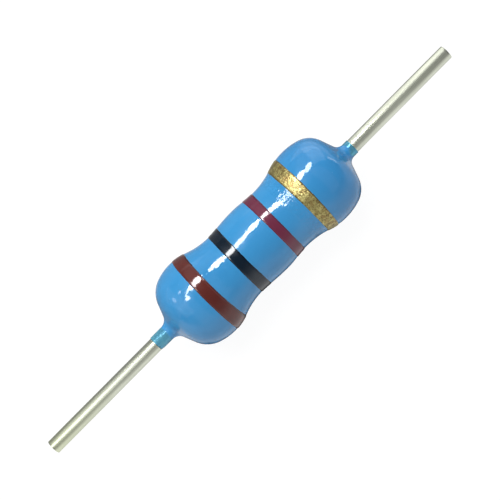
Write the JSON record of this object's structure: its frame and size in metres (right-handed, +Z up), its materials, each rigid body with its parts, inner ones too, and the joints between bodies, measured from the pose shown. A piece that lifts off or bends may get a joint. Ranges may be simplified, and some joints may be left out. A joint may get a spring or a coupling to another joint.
{
  "type": "axial resistor",
  "caption": "Axial film resistor: blue dumbbell-shaped lacquered body with painted colour bands and straight tinned wire leads.",
  "frame": {"origin": "middle of the body between the outer faces of the two end caps, on the centre line of the leads", "axes": "+X along the leads, towards the lead beside the gold band; +Z up, as it lies on a table or a board"},
  "size_m": [0.0271, 0.0046, 0.0046],
  "materials": {
    "ceramic_rod": "unglazed alumina, off-white",
    "resistive_film": "thin dark grey alloy film",
    "end_cap": "pressed steel, plated",
    "lead": "tinned wire, drawn, satin",
    "lacquer": "sky blue lacquer with a slight orange peel",
    "brown_paint": "glossy brown paint",
    "black_paint": "glossy black paint",
    "red_paint": "glossy dark red paint",
    "gold_paint": "gold paint with metal flakes"
  },
  "bodies": {
    "root": {"ceramic_rod": "ceramic_rod", "resistive_film": "resistive_film", "end_cap_left": "end_cap", "end_cap_right": "end_cap", "lead_left": "lead", "lead_right": "lead", "lacquer_coat": "lacquer", "band_1_brown": "brown_paint", "band_2_black": "black_paint", "band_3_red": "red_paint", "band_4_gold": "gold_paint"}
  },
  "joints": []
}
